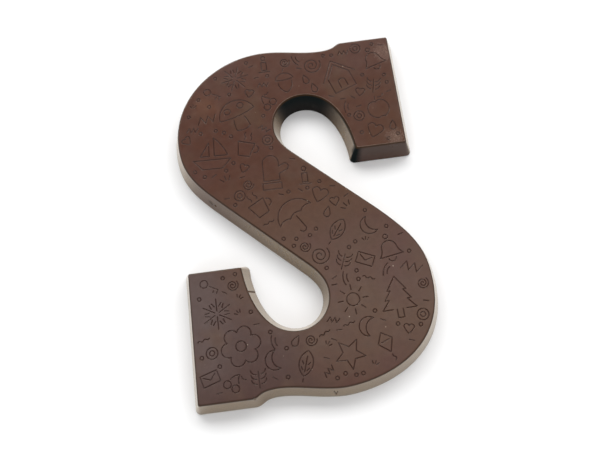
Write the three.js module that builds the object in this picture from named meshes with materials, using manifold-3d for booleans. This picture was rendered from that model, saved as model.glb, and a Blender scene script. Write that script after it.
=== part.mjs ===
// A solid dark chocolate letter S that lies flat on its back, face up.
// Millimetres, +Z up, +Y towards the letter's top, the origin under its middle.
// The slab ended S has drafted sides and a softly rounded rim. Fine drawings are engraved in its face.

import * as THREE from "three";
import Module from "manifold-3d";

const wasm = await Module();
wasm.setup();

// ---- Body -----------------------------------------------------------------------------------------------

const LETTER_HEIGHT = 175;      // base, top to bottom
const THICKNESS = 11;
const DRAFT = 3;                // how far the base reaches beyond the face on every side
const RIM_RADIUS = 0.8;         // rounding between face and side
const RIM_STEPS = 2;
const BASE_BEVEL = 0.3;         // small bevel round the underside
const FACE_CORNER_RADIUS = 0.8; // rounding of the outline's corners at the face
const BASE_CORNER_RADIUS = 2.4; // and at the base
const CORNER_STEPS = 3;
const CORNER_TRIM = 3.2;        // stretch of the outline that a rounded corner may take up
const CORNER_TURN = 0.35;       // radians; a joint of two curves that turns more is a corner
const OUTLINE_STEP = 3.6;       // spacing of the outline's points along a round stretch

// The face's outline, measured from the middle. The lower half is the upper half turned half round.
const HALF_HEIGHT = LETTER_HEIGHT / 2 - DRAFT;
const HALF_WIDTH = 54.75;
const SLAB_END = 25.75;         // y of the slab's inner edge
const SLAB_BAY_X = 30.5;        // where that edge meets the bay
const STEP_OUTER_X = 31.25;     // the small step down from the slab's top edge to the bowl
const STEP_INNER_X = 19.5;
const STEP_DROP = 3.25;
const CROWN_X = -8.75;          // highest point of the bowl
const SPINE_START = [-31.5, 2]; // straight diagonal between the two bowls
const SPINE_END = [0.25, -28];
const BAY_SIDE = [8, -42.25];   // the bay's farthest point sideways
const BAY_FLOOR = [-7.5, -58];  // and its deepest point

// How far the curve handles reach from those points.
const STEP_REACH = { outer: 3, inner: 9 };
const CROWN_REACH = { step: 9, crown: 9.5 };
const BAY_REACH = { spine: 5, sideTop: 6, sideBottom: 9.5, floorSide: 8, floorMouth: 20.5, mouth: 1.5 };
const BAY_MOUTH_LEAN = THREE.MathUtils.degToRad(-5);

// The two bowls differ a little in fullness: y of the widest point, then the reach of the handles.
const UPPER_BOWL = { wide: 41.25, crown: 24, shoulder: 24.5, flank: 17.5, spine: 22.5 };
const LOWER_BOWL = { wide: 43.75, crown: 7, shoulder: 36.5, flank: 15, spine: 27.5 };

// ---- Engraving ------------------------------------------------------------------------------------------

const GROOVE_HALF_WIDTH = 0.38;
const GROOVE_DEPTH = 0.35;
const GROOVE_STEP = 2.8;        // spacing of a groove's points along a curve
const GROOVE_TURN = 1.05;       // and the most it turns from one point to the next, in radians
const MITRE_LIMIT = 2.2;
const DRAWING_MARGIN = 1.5;     // bare strip along the rim
const DRAWING_GAP = 0.5;        // between two drawings
const SMALLEST_CUT = 2.5;       // drawings with a smaller radius are too fine for these solids
const DRAWING_SEED = 1206;
const TRIES = 6000;             // darts thrown for each size of drawing

const CHOCOLATE = { color: 0x5b443a, roughness: 0.38, metalness: 0 };

const point = (x, y) => new THREE.Vector2(x, y);

// ---- Outline --------------------------------------------------------------------------------------------

// The curves of one half of the face's outline, counter-clockwise from the slab's inner corner.
function halfCurves(bowl, turn) {
  const at = (x, y) => point(x * turn, y * turn);
  const line = (a, b) => new THREE.LineCurve(at(...a), at(...b));
  const moved = (p, [direction, reach]) => at(p[0] + direction[0] * reach, p[1] + direction[1] * reach);
  const bend = (a, leaving, arriving, b) =>
    new THREE.CubicBezierCurve(at(...a), moved(a, leaving), moved(b, arriving), at(...b));
  const inner = [HALF_WIDTH, SLAB_END];
  const outer = [HALF_WIDTH, HALF_HEIGHT];
  const stepOuter = [STEP_OUTER_X, HALF_HEIGHT];
  const stepInner = [STEP_INNER_X, HALF_HEIGHT - STEP_DROP];
  const crown = [CROWN_X, HALF_HEIGHT];
  const wide = [-HALF_WIDTH, bowl.wide];
  const mouth = [-SLAB_BAY_X, -SLAB_END];
  const run = Math.hypot(SPINE_END[0] - SPINE_START[0], SPINE_END[1] - SPINE_START[1]);
  const along = [(SPINE_END[0] - SPINE_START[0]) / run, (SPINE_END[1] - SPINE_START[1]) / run];
  const lean = [Math.sin(BAY_MOUTH_LEAN), -Math.cos(BAY_MOUTH_LEAN)];
  const right = [1, 0];
  const up = [0, 1];
  return [
    line(inner, outer),
    line(outer, stepOuter),
    bend(stepOuter, [right, -STEP_REACH.outer], [right, STEP_REACH.inner], stepInner),
    bend(stepInner, [right, -CROWN_REACH.step], [right, CROWN_REACH.crown], crown),
    bend(crown, [right, -bowl.crown], [up, bowl.shoulder], wide),
    bend(wide, [up, -bowl.flank], [along, -bowl.spine], SPINE_START),
    line(SPINE_START, SPINE_END),
    bend(SPINE_END, [along, BAY_REACH.spine], [up, BAY_REACH.sideTop], BAY_SIDE),
    bend(BAY_SIDE, [up, -BAY_REACH.sideBottom], [right, BAY_REACH.floorSide], BAY_FLOOR),
    bend(BAY_FLOOR, [right, -BAY_REACH.floorMouth], [lean, BAY_REACH.mouth], mouth),
    line(mouth, [-HALF_WIDTH, -SLAB_END]),
  ];
}

const outlineCurves = [...halfCurves(UPPER_BOWL, 1), ...halfCurves(LOWER_BOWL, -1)];

function turnBetween(a, b) {
  return Math.atan2(a.x * b.y - a.y * b.x, a.dot(b));
}

// The outline as points with an outward direction, and its corners as points with both edge directions.
function outlineStations() {
  const stations = [];
  outlineCurves.forEach((curve, i) => {
    const before = outlineCurves.at(i - 1);
    const after = outlineCurves[(i + 1) % outlineCurves.length];
    const start = curve.getTangentAt(0);
    const end = curve.getTangentAt(1);
    const cornerAtStart = Math.abs(turnBetween(before.getTangentAt(1), start)) > CORNER_TURN;
    const cornerAtEnd = Math.abs(turnBetween(end, after.getTangentAt(0))) > CORNER_TURN;
    const length = curve.getLength();
    const from = cornerAtStart ? CORNER_TRIM / length : 0;
    const to = cornerAtEnd ? 1 - CORNER_TRIM / length : 1;
    const steps = curve.isLineCurve ? 1 : Math.ceil(((to - from) * length) / OUTLINE_STEP);
    const last = cornerAtEnd ? steps : steps - 1;
    for (let k = 0; k <= last; k++) {
      const u = from + ((to - from) * k) / steps;
      const tangent = curve.getTangentAt(u);
      stations.push({ at: curve.getPointAt(u), out: point(tangent.y, -tangent.x) });
    }
    if (!cornerAtEnd) return;
    stations.push({ at: curve.getPointAt(1), arriving: end, leaving: after.getTangentAt(0) });
  });
  return stations;
}

const stations = outlineStations();

// The outline moved outwards by grow, with its corners rounded.
function outlineAt(grow) {
  const share = THREE.MathUtils.clamp(grow / DRAFT, 0, 1);
  const radius = THREE.MathUtils.lerp(FACE_CORNER_RADIUS, BASE_CORNER_RADIUS, share);
  return stations.flatMap((station) => {
    if (station.out) return [station.at.clone().addScaledVector(station.out, grow)];
    const turn = turnBetween(station.arriving, station.leaving);
    const tangentLength = radius * Math.tan(turn / 2);
    const tip = station.at.clone();
    tip.addScaledVector(station.arriving, grow * Math.tan(turn / 2));
    tip.add(point(station.arriving.y, -station.arriving.x).multiplyScalar(grow));
    const start = tip.clone().addScaledVector(station.arriving, -tangentLength);
    const centre = start.clone().add(point(-station.arriving.y, station.arriving.x).multiplyScalar(radius));
    const spoke = start.sub(centre);
    return Array.from({ length: CORNER_STEPS + 1 }, (_, k) =>
      spoke.clone().rotateAround(point(0, 0), (turn * k) / CORNER_STEPS).add(centre));
  });
}

// ---- Body solid -----------------------------------------------------------------------------------------

// [z, grow] from the underside up over the rounded rim to the face.
function sideProfile() {
  const slope = Math.atan2(DRAFT, THICKNESS - BASE_BEVEL);
  const bend = Math.PI / 2 - slope;
  const tangentLength = RIM_RADIUS * Math.tan(bend / 2);
  const centre = [THICKNESS - RIM_RADIUS, -tangentLength];
  const profile = [[0, DRAFT - BASE_BEVEL], [BASE_BEVEL, DRAFT]];
  for (let k = 0; k <= RIM_STEPS; k++) {
    const angle = slope + (bend * k) / RIM_STEPS;
    profile.push([centre[0] + RIM_RADIUS * Math.sin(angle), centre[1] + RIM_RADIUS * Math.cos(angle)]);
  }
  return profile;
}

function solidOf(positions, triangles) {
  const mesh = new wasm.Mesh({
    numProp: 3,
    vertProperties: new Float32Array(positions),
    triVerts: new Uint32Array(triangles),
  });
  return new wasm.Manifold(mesh);
}

function bodySolid() {
  const rings = sideProfile().map(([z, grow]) => outlineAt(grow).map((p) => [p.x, p.y, z]));
  const count = rings[0].length;
  const triangles = [];
  for (let level = 0; level + 1 < rings.length; level++) {
    for (let k = 0; k < count; k++) {
      const a = level * count + k;
      const b = level * count + ((k + 1) % count);
      triangles.push(a, b, b + count, a, b + count, a + count);
    }
  }
  const cap = (ring, first, flip) => {
    const flat = ring.map(([x, y]) => point(x, y));
    for (const [a, b, c] of THREE.ShapeUtils.triangulateShape(flat, [])) {
      triangles.push(first + a, first + (flip ? c : b), first + (flip ? b : c));
    }
  };
  cap(rings[0], 0, true);
  cap(rings.at(-1), (rings.length - 1) * count, false);
  return solidOf(rings.flat(2), triangles);
}

// ---- Drawings -------------------------------------------------------------------------------------------

// A stroke is a run of [x, y, bulge]. The bulge is the tangent of a quarter of the angle that the arc to
// the next point turns through, positive counter-clockwise and 0 for a straight line. Sizes are shares of
// the drawing's radius.
const open = (...nodes) => ({ nodes, closed: false });
const loop = (...nodes) => ({ nodes, closed: true });
const ring = (radius, x = 0, y = 0) => loop([x - radius, y, 1], [x + radius, y, 1]);
const around = (count, make) => Array.from({ length: count }, (_, k) => make((2 * Math.PI * k) / count, k));
const polar = (radius, angle, bulge = 0) => [radius * Math.cos(angle), radius * Math.sin(angle), bulge];

function star() {
  return [loop(...around(10, (angle, k) => polar(k % 2 ? 0.45 : 1, angle + Math.PI / 2)))];
}

function flower() {
  return [loop(...around(6, (angle) => polar(0.66, angle, 1.1))), ring(0.24)];
}

function snowflake() {
  const arms = around(6, (angle) => open(polar(0.18, angle), polar(1, angle)));
  const barbs = [-1, 1].flatMap((side) =>
    around(6, (angle) => open(polar(0.5, angle + 0.27 * side), polar(0.78, angle + 0.42 * side))));
  return [...arms, ...barbs];
}

function leaf() {
  const blade = loop([0, -0.62, 0.55], [0, 1, 0.55]);
  const midrib = open([0, -0.36, 0], [0, 0.65, 0]);
  const veins = [-0.25, 0.12].flatMap((y) => [-1, 1].map((side) =>
    open([side * 0.14, y, 0], [side * 0.27, y + 0.18, 0])));
  return [blade, midrib, open([0, -0.8, 0], [0, -1, 0]), ...veins];
}

function sprig() {
  const leaves = [-0.6, -0.15, 0.3].flatMap((y) => [-1, 1].map((side) =>
    open([side * 0.22, y, 0.35 * side], [side * 0.72, y + 0.45, 0])));
  return [open([0, -1, 0], [0, 0.6, 0]), ...leaves];
}

function crescent() {
  return [loop([0.4, -0.9, -1.35], [0.4, 0.9, 0.6])];
}

function mitten() {
  const hand = loop([-0.45, -0.45, 0], [0.35, -0.45, 0], [0.35, -0.1, 0], [0.72, 0.08, 0.95], [0.6, 0.42, 0],
    [0.35, 0.3, 0], [0.35, 0.55, 0.9], [-0.45, 0.55, 0]);
  return [hand, loop([-0.52, -0.9, 0], [0.42, -0.9, 0], [0.42, -0.57, 0], [-0.52, -0.57, 0])];
}

function bell() {
  const body = loop([-0.8, -0.5, 0], [0.8, -0.5, -0.2], [0.5, 0.15, 0.8], [-0.5, 0.15, -0.2]);
  return [body, open([-0.25, -0.66, 0.9], [0.25, -0.66, 0]), ring(0.16, 0, 0.86)];
}

function acorn() {
  const nut = open([-0.5, -0.1, 0.3], [0, -0.95, 0.3], [0.5, -0.1, 0]);
  return [loop([-0.65, 0.15, 0.12], [0.65, 0.15, 0.75]), nut, open([0, 0.8, 0], [0.1, 1, 0])];
}

function mushroom() {
  const stem = open([-0.28, -0.24, 0.1], [-0.36, -0.85, 0.25], [0.36, -0.85, 0.1], [0.28, -0.24, 0]);
  return [loop([-0.95, 0, 0.12], [0.95, 0, 0.85]), stem, ring(0.16, -0.4, 0.35), ring(0.16, 0.35, 0.4)];
}

function cup() {
  const steam = [-0.3, 0.15].map((x) => open([x, 0.45, 0.4], [x, 0.72, -0.4], [x, 1, 0]));
  const body = loop([-0.7, 0.25, 0], [-0.5, -0.8, 0], [0.3, -0.8, 0], [0.5, 0.25, 0]);
  return [body, open([0.64, 0.1, -0.9], [0.54, -0.45, 0]), ...steam];
}

function sailboat() {
  const hull = loop([-0.95, -0.35, 0], [0.95, -0.35, 0], [0.5, -0.85, 0], [-0.5, -0.85, 0]);
  const sail = loop([0.12, 0.85, -0.12], [0.8, -0.15, 0], [0.12, -0.15, 0]);
  return [hull, sail, loop([-0.14, 0.6, 0], [-0.14, -0.15, 0], [-0.6, -0.15, 0])];
}

function umbrella() {
  const canopy = loop([-0.95, 0, -0.35], [-0.32, 0, -0.35], [0.32, 0, -0.35], [0.95, 0, 0.85]);
  return [canopy, open([0, -0.06, 0], [0, -0.75, -1], [-0.32, -0.75, 0])];
}

function house() {
  const walls = loop([-0.6, -0.85, 0], [0.6, -0.85, 0], [0.6, 0.05, 0], [0, 0.74, 0], [-0.6, 0.05, 0]);
  const door = open([-0.18, -0.7, 0], [-0.18, -0.3, -0.6], [0.2, -0.3, 0], [0.2, -0.7, 0]);
  return [walls, door, open([0.9, -0.05, 0], [0, 0.98, 0], [-0.9, -0.05, 0])];
}

function key() {
  const shaft = open([0.02, 0, 0], [0.95, 0, 0], [0.95, -0.4, 0]);
  return [ring(0.38, -0.57, 0), shaft, open([0.6, -0.22, 0], [0.6, -0.48, 0])];
}

function firTree() {
  const side = [[0.32, -0.55], [0.8, -0.55], [0.42, -0.1], [0.62, -0.1], [0.3, 0.35], [0.45, 0.35]];
  const left = side.map(([x, y]) => [-x, y, 0]);
  const right = side.toReversed().map(([x, y]) => [x, y, 0]);
  const trunk = open([-0.14, -0.55, 0], [-0.14, -0.95, 0], [0.14, -0.95, 0], [0.14, -0.55, 0]);
  return [open(...left, [0, 1, 0], ...right), trunk];
}

function cherries() {
  const stems = open([-0.42, -0.02, -0.25], [0.1, 0.8, 0.2], [0.47, 0.06, 0]);
  return [ring(0.36, -0.42, -0.58), ring(0.36, 0.47, -0.5), stems, open([0.32, 0.75, 0.4], [0.85, 0.72, 0])];
}

function apple() {
  const body = loop([0, 0.4, 0.45], [-0.6, 0.3, 0.55], [-0.2, -0.85, -0.3], [0.2, -0.85, 0.55],
    [0.6, 0.3, 0.45]);
  return [body, open([0.02, 0.58, 0], [0.1, 0.86, 0]), open([0.28, 0.72, 0.45], [0.72, 0.82, 0])];
}

function candle() {
  const stick = loop([-0.28, -0.8, 0], [0.28, -0.8, 0], [0.28, 0.2, 0], [-0.28, 0.2, 0]);
  return [stick, loop([0, 0.4, 0.75], [0, 0.98, 0.75]), open([-0.6, -1, 0], [0.6, -1, 0])];
}

function envelope() {
  const sheet = loop([-0.85, -0.55, 0], [0.85, -0.55, 0], [0.85, 0.55, 0], [-0.85, 0.55, 0]);
  return [sheet, open([-0.6, 0.32, 0], [0, -0.12, 0], [0.6, 0.32, 0])];
}

function sun() {
  return [ring(0.42), ...around(8, (angle) => open(polar(0.65, angle), polar(0.98, angle)))];
}

function kite() {
  const sheet = loop([0, 0.95, 0], [-0.5, 0.35, 0], [0, -0.4, 0], [0.5, 0.35, 0]);
  const tail = open([0, -0.58, 0.4], [0.1, -0.8, -0.4], [0, -1, 0]);
  return [sheet, open([-0.28, 0.35, 0], [0.28, 0.35, 0]), tail];
}

function heart() {
  return [loop([0, -0.85, 0.12], [0.85, 0.3, 0.85], [0, 0.42, 0.85], [-0.85, 0.3, 0.12])];
}

function spiral() {
  const turns = 2.1;
  const steps = 12;
  const bulge = Math.tan((2 * Math.PI * turns) / steps / 4);
  const nodes = Array.from({ length: steps + 1 }, (_, k) =>
    polar(0.14 + (0.86 * k) / steps, (2 * Math.PI * turns * k) / steps, bulge));
  return [open(...nodes)];
}

function rings() {
  return [ring(0.95), ring(0.42)];
}

function zigzag() {
  return [open(...[-1, -0.6, -0.2, 0.2, 0.6, 1].map((x, k) => [x, k % 2 ? 0.42 : -0.42, 0]))];
}

function wave() {
  return [open(...[-1, -0.5, 0, 0.5, 1].map((x, k) => [x, 0, k % 2 ? 0.55 : -0.55]))];
}

function rays() {
  return [-0.6, 0, 0.6].map((lean) => open(polar(0.5, Math.PI / 2 + lean), polar(1, Math.PI / 2 + lean)));
}

function drop() {
  return [loop([0, 1, 0.12], [-0.55, -0.35, 0.95], [0.55, -0.35, 0.12])];
}

function brackets() {
  return [-0.3, 0.2].map((x) => open([x, -0.85 + x, -0.25], [x, 0.85 - x, 0]));
}

const dash = () => [open([-0.9, 0, 0], [0.9, 0, 0])];
const bead = () => [ring(0.62)];

// Sizes of drawing, the largest first: radius, how many at most, and what is drawn in turn.
const DRAWINGS = [
  { radius: 9.6, most: 7, kinds: [sailboat, mitten, umbrella, firTree, mushroom, house, flower] },
  { radius: 6.9, most: 13, kinds: [snowflake, bell, leaf, cup, star, acorn, sun, apple, kite] },
  { radius: 4.6, most: 22, kinds: [sprig, crescent, candle, cherries, envelope, key, spiral, heart, zigzag,
    rays] },
  { radius: 2.7, most: 60, kinds: [spiral, zigzag, heart, rays, rings, wave, drop, brackets] },
  { radius: 1.3, most: 90, kinds: [bead, dash, bead] },
];

// A seeded draw between 0 and 1.
function seededDraw(seed) {
  const MODULUS = 2147483647;
  const MULTIPLIER = 16807;
  let state = seed;
  return () => {
    state = (state * MULTIPLIER) % MODULUS;
    return state / MODULUS;
  };
}

function distanceToLoop(x, y, loopPoints) {
  let nearest = Infinity;
  loopPoints.forEach((a, i) => {
    const b = loopPoints[(i + 1) % loopPoints.length];
    const [dx, dy] = [b.x - a.x, b.y - a.y];
    const t = THREE.MathUtils.clamp(((x - a.x) * dx + (y - a.y) * dy) / (dx * dx + dy * dy), 0, 1);
    nearest = Math.min(nearest, Math.hypot(x - a.x - t * dx, y - a.y - t * dy));
  });
  return nearest;
}

function isInside(x, y, loopPoints) {
  let inside = false;
  loopPoints.forEach((a, i) => {
    const b = loopPoints[(i + 1) % loopPoints.length];
    if (a.y > y !== b.y > y && x < a.x + ((y - a.y) * (b.x - a.x)) / (b.y - a.y)) inside = !inside;
  });
  return inside;
}

// Drawings are spread over the face by throwing darts, so that none touches another or the rim.
function placeDrawings() {
  const face = outlineAt(0);
  const draw = seededDraw(DRAWING_SEED);
  const placed = [];
  for (const { radius, most, kinds } of DRAWINGS) {
    let count = 0;
    for (let k = 0; k < TRIES && count < most; k++) {
      const x = (draw() * 2 - 1) * HALF_WIDTH;
      const y = (draw() * 2 - 1) * HALF_HEIGHT;
      const angle = (draw() * 2 - 1) * 0.7;
      const clear = placed.every((p) => Math.hypot(x - p.x, y - p.y) > radius + p.radius + DRAWING_GAP);
      if (!clear || !isInside(x, y, face)) continue;
      if (distanceToLoop(x, y, face) < radius + DRAWING_MARGIN) continue;
      placed.push({ x, y, angle, radius, strokes: kinds[count % kinds.length]() });
      count++;
    }
  }
  return placed;
}

// The points along a stroke of a drawing, at its place on the face.
function strokePoints({ nodes, closed }, { x, y, angle, radius }) {
  const corners = nodes.map(([u, v]) => point(u, v).multiplyScalar(radius).rotateAround(point(0, 0), angle));
  const points = [];
  corners.forEach((a, i) => {
    points.push(a);
    if (!closed && i === corners.length - 1) return;
    const b = corners[(i + 1) % corners.length];
    const sweep = 4 * Math.atan(nodes[i][2]);
    if (Math.abs(sweep) < 1e-6) return;
    const chord = b.clone().sub(a);
    const arcRadius = chord.length() / 2 / Math.sin(Math.abs(sweep) / 2);
    const turned = Math.abs(sweep);
    const steps = Math.ceil(Math.max((turned * arcRadius) / GROOVE_STEP, turned / GROOVE_TURN));
    const middle = a.clone().add(b).multiplyScalar(0.5);
    const centre = middle.add(point(-chord.y, chord.x).multiplyScalar(0.5 / Math.tan(sweep / 2)));
    for (let k = 1; k < steps; k++) points.push(a.clone().rotateAround(centre, (sweep * k) / steps));
  });
  return points.map((p) => p.add(point(x, y)));
}

// A V shaped cutter along a stroke. An open stroke tapers to a point at both ends.
function grooveCutter(points, closed) {
  const count = points.length;
  const top = THICKNESS;
  const bottom = THICKNESS - GROOVE_DEPTH;
  const positions = [];
  const triangles = [];
  points.forEach((p, i) => {
    const back = closed || i > 0 ? p.clone().sub(points.at(i - 1)).normalize() : null;
    const ahead = closed || i < count - 1 ? points[(i + 1) % count].clone().sub(p).normalize() : null;
    const along = (back ?? ahead).clone().add(ahead ?? back).normalize();
    const mitre = Math.min(1 / Math.abs(along.dot(ahead ?? back)), MITRE_LIMIT);
    const side = point(-along.y, along.x).multiplyScalar(GROOVE_HALF_WIDTH * mitre);
    positions.push(p.x + side.x, p.y + side.y, top, p.x - side.x, p.y - side.y, top, p.x, p.y, bottom);
  });
  const segments = closed ? count : count - 1;
  for (let i = 0; i < segments; i++) {
    const a = i * 3;
    const b = ((i + 1) % count) * 3;
    for (let k = 0; k < 3; k++) {
      const next = (k + 1) % 3;
      triangles.push(a + k, a + next, b + next, a + k, b + next, b + k);
    }
  }
  if (!closed) {
    const end = (count - 1) * 3;
    const first = positions.length / 3;
    const startTip = points[0].clone().sub(points[1]).setLength(GROOVE_HALF_WIDTH).add(points[0]);
    const endTip = points.at(-1).clone().sub(points.at(-2)).setLength(GROOVE_HALF_WIDTH).add(points.at(-1));
    positions.push(startTip.x, startTip.y, top, endTip.x, endTip.y, top);
    for (let k = 0; k < 3; k++) {
      const next = (k + 1) % 3;
      triangles.push(first, next, k, first + 1, end + k, end + next);
    }
  }
  return solidOf(positions, triangles);
}

function engraved(solid) {
  let result = solid;
  for (const drawing of placeDrawings()) {
    if (drawing.radius < SMALLEST_CUT) continue;
    for (const stroke of drawing.strokes) {
      result = result.subtract(grooveCutter(strokePoints(stroke, drawing), stroke.closed));
    }
  }
  return result;
}

// ---- Model ----------------------------------------------------------------------------------------------

function meshOf(name, solid, look) {
  const { vertProperties, triVerts } = solid.getMesh();
  const geometry = new THREE.BufferGeometry();
  geometry.setAttribute("position", new THREE.BufferAttribute(vertProperties, 3));
  geometry.setIndex(new THREE.BufferAttribute(triVerts, 1));
  geometry.computeVertexNormals();
  const mesh = new THREE.Mesh(geometry, new THREE.MeshStandardMaterial(look));
  mesh.name = name;
  return mesh;
}

const letter = new THREE.Group();
letter.add(meshOf("chocolate_letter", engraved(bodySolid()), CHOCOLATE));

export default letter;
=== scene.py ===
"""A dark chocolate letter S lying face up on a pale table, seen from above its foot.

Blender 4.5. Lengths are in millimetres until a mesh is made, and then in metres. +Z is up and +Y points
to the letter's top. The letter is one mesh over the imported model's outline, with every groove of its
engraved drawings, its rounded rim and the small marks on its sides as real relief.
"""
import math

import bpy
import numpy as np
from mathutils import Matrix, Vector, noise
from mathutils.geometry import delaunay_2d_cdt
from mathutils.kdtree import KDTree


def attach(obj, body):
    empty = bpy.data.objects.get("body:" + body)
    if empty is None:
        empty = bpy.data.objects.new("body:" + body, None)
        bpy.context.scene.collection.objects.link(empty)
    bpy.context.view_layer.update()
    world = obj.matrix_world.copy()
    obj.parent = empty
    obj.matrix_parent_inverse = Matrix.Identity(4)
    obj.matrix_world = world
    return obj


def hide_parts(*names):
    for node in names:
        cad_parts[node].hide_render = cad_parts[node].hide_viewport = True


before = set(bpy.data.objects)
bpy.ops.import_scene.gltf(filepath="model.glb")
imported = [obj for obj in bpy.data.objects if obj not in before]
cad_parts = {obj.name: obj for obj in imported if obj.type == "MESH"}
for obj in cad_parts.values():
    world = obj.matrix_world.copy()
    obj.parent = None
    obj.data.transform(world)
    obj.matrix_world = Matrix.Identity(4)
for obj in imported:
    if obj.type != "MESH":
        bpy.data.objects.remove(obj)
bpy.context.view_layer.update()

MM = 0.001

# ---- Body ----

LETTER_HEIGHT = 175.0
THICKNESS = 11.0
DRAFT = 3.0
RIM_RADIUS = 0.8
RIM_FOOT = THICKNESS - RIM_RADIUS
BASE_BEVEL = 0.3
FACE_CORNER_RADIUS = 0.8
BASE_CORNER_RADIUS = 2.4
CORNER_TRIM = 3.2
CORNER_TURN = 0.35

HALF_HEIGHT = LETTER_HEIGHT / 2 - DRAFT
HALF_WIDTH = 54.75
SLAB_END = 25.75
SLAB_BAY_X = 30.5
STEP_OUTER_X = 31.25
STEP_INNER_X = 19.5
STEP_DROP = 3.25
CROWN_X = -8.75
SPINE_START = (-31.5, 2.0)
SPINE_END = (0.25, -28.0)
BAY_SIDE = (8.0, -42.25)
BAY_FLOOR = (-7.5, -58.0)

STEP_REACH = {"outer": 3.0, "inner": 9.0}
CROWN_REACH = {"step": 9.0, "crown": 9.5}
BAY_REACH = {
    "spine": 5.0, "side_top": 6.0, "side_bottom": 9.5,
    "floor_side": 8.0, "floor_mouth": 20.5, "mouth": 1.5,
}
BAY_MOUTH_LEAN = math.radians(-5)
UPPER_BOWL = {"wide": 41.25, "crown": 24.0, "shoulder": 24.5, "flank": 17.5, "spine": 22.5}
LOWER_BOWL = {"wide": 43.75, "crown": 7.0, "shoulder": 36.5, "flank": 15.0, "spine": 27.5}

# ---- Engraving ----

GROOVE_HALF_WIDTH = 0.38
GROOVE_DEPTH = 0.35
DRAWING_MARGIN = 1.5
DRAWING_GAP = 0.5
DRAWING_LEAN = 0.7  # the most that one is turned, in radians
DRAWING_SEED = 1206
TRIES = 6000
LAYOUT_STEP = 3.6  # between the outline's points when the drawings are spread
LAYOUT_CORNER_STEPS = 3

# ---- Fineness of the mesh ----

CURVE_SAMPLES = 401  # along a curve, to measure its length
SHARE_SAMPLES = 1500  # along a curve, to space its points
RIM_STEP = 0.9  # along the outline
MARK_STEP = 0.2  # the same, beside a mark on the sides
MARK_REACH = 2.5
SIDE_ROWS = 24
RIM_ROWS = 6
CORNER_STEPS = 8
BEVEL_BULGE = 0.3  # the base's bevel bends at this share of its size
UNDER_BORDER = 0.5
UNDER_STEP = 5.0  # between points on the underside
UNDER_REACH = (60.0, 90.0)
GROOVE_STEP = 0.45  # along a groove
GROOVE_ROWS = (0.0, 0.1, 0.19, 0.27, GROOVE_HALF_WIDTH)  # points across a groove, from its middle
GROOVE_FLAT = 0.03  # a groove's floor and its edge, from its middle
GROOVE_EDGE = 0.35
GROOVE_TURN = 0.5  # a groove's corner turns further than this, in radians
MITRE_LEAST = 0.4  # keeps a sharp corner's inner point near
NEAR_PIECES = 6  # of groove, looked at to find the nearest
FIELD_STEP = 2.0  # between points on the bare face
FIELD_GAP = 0.8  # between those points and a groove's
NEAREST = 0.1  # no two points of the face are closer than this
MERGED = 1e-5  # points this close become one
INSIDE_ONLY = 1  # what is kept of a triangulation

# ---- Marks ----
# A pair is where something starts and is full, or with TO in its name, starts to end and has ended. A
# facing is how much of a side's outward direction points to the letter's foot.

WALL_CRACK = [(-28.3, -37.2, 10.4), (-27.87, -36.94, 8.5), (-27.05, -36.41, 5.2), (-26.0, -35.8, 1.2)]
AIR_BUBBLE = [(-40.23, 8.01, 5.0), (-40.1, 7.9, 4.9)]
EDGE_SCRATCH = [(4.17, -85.3, 7.3), (5.0, -86.5, 3.4), (5.68, -85.5, 6.9)]
RIM_NICK = [(-30.64, -84.3, 10.9), (-30.2, -84.9, 9.6)]
# Their runs in space, half widths, depths, and how much they darken and pale.
SIDE_SCRATCHES = [
    (WALL_CRACK, 0.55, 0.25, 1.0, 0.0),
    (AIR_BUBBLE, 0.7, 0.6, 1.0, 0.0),
    (EDGE_SCRATCH, 0.4, 0.2, 0.5, 0.0),
    (RIM_NICK, 0.7, 0.35, 0.4, 0.3),
]
SCRATCH_CORE = 0.25  # the share of its half width where a scratch is full
SIDE_MARKS = np.array([place for run, *_ in SIDE_SCRATCHES for place in run])

# Rubbed places and stains: middle, radius and strength.
SCUFFS = [
    ((51.5, 76.0, 11.0), 7.0, 0.7),
    ((50.0, 29.0, 11.0), 6.0, 0.8),
    ((14.1, 54.4, 3.3), 3.0, 0.6),
]
SCUFF_CORE = 0.2
STAINS = [((-42.2, 9.8, 4.7), 2.4, 0.35)]
STAIN_CORE = 0.3

# The sides, away from foot and rim, and the underside swell and sink: how far, how broadly, and a seed.
SIDE_SWELL = (0.03, 9.0, 1)
SIDE_SWELL_FROM = (0.3, 2.0)
SIDE_SWELL_TO = (9.5, 10.6)
UNDER_SWELL = (0.05, 14.0, 5)

# Pale film painted for the sides' reflection of the table. It ends under the rim; upper-half sides facing
# the foot have none.
PAINTED_REFLECTION_TO = (THICKNESS - 1.6 * RIM_RADIUS, THICKNESS - 0.9 * RIM_RADIUS)
NO_REFLECTION_FACING = (0.25, 0.95)
NO_REFLECTION_FROM_Y = (-20.0, 10.0)

# Painted shade: the upper bay's dark roof, the slab's end beside it, and the dark corner between them.
BAY_FROM_X = (-30.0, -20.0)
BAY_TO_X = (30.5, 32.0)
BAY_FROM_Y = (20.0, 26.0)
ROOF_FACING = (0.2, 0.85)
ROOF_SHADE = 0.88
ROOF_SHADE_TOP = 0.12  # more towards the top
ROOF_TOP = (2.0, 10.0)
END_FROM_X = (30.0, 31.0)
END_SHADE = 0.35
CORNER_RUN = [(30.8, 26.1, 10.9), (29.0, 23.3, 0.3)]
CORNER_REACH = 2.2
CORNER_CORE = 0.55

# A painted dark reflection along the rim, and how much deeper, darker and softer it is where the bay faces
# left.
RIM_DROP = 0.3
RIM_SHADE = 0.75
RIM_FADE = 0.5
BAY_EDGE_TURN = (0.1, 0.6)  # how much of the outward direction points left
BAY_EDGE_DROP = 1.2
BAY_EDGE_SHADE = 0.2
BAY_EDGE_FADE = 0.8
RIM_BROWN = 0.4  # how brown the rim's dull dark is
RIM_BAND = (RIM_FOOT - RIM_DROP, RIM_FOOT + 0.2)
FACE_FADE = (THICKNESS - 0.1, THICKNESS - 0.01)  # where what darkens the sides ends
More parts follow.
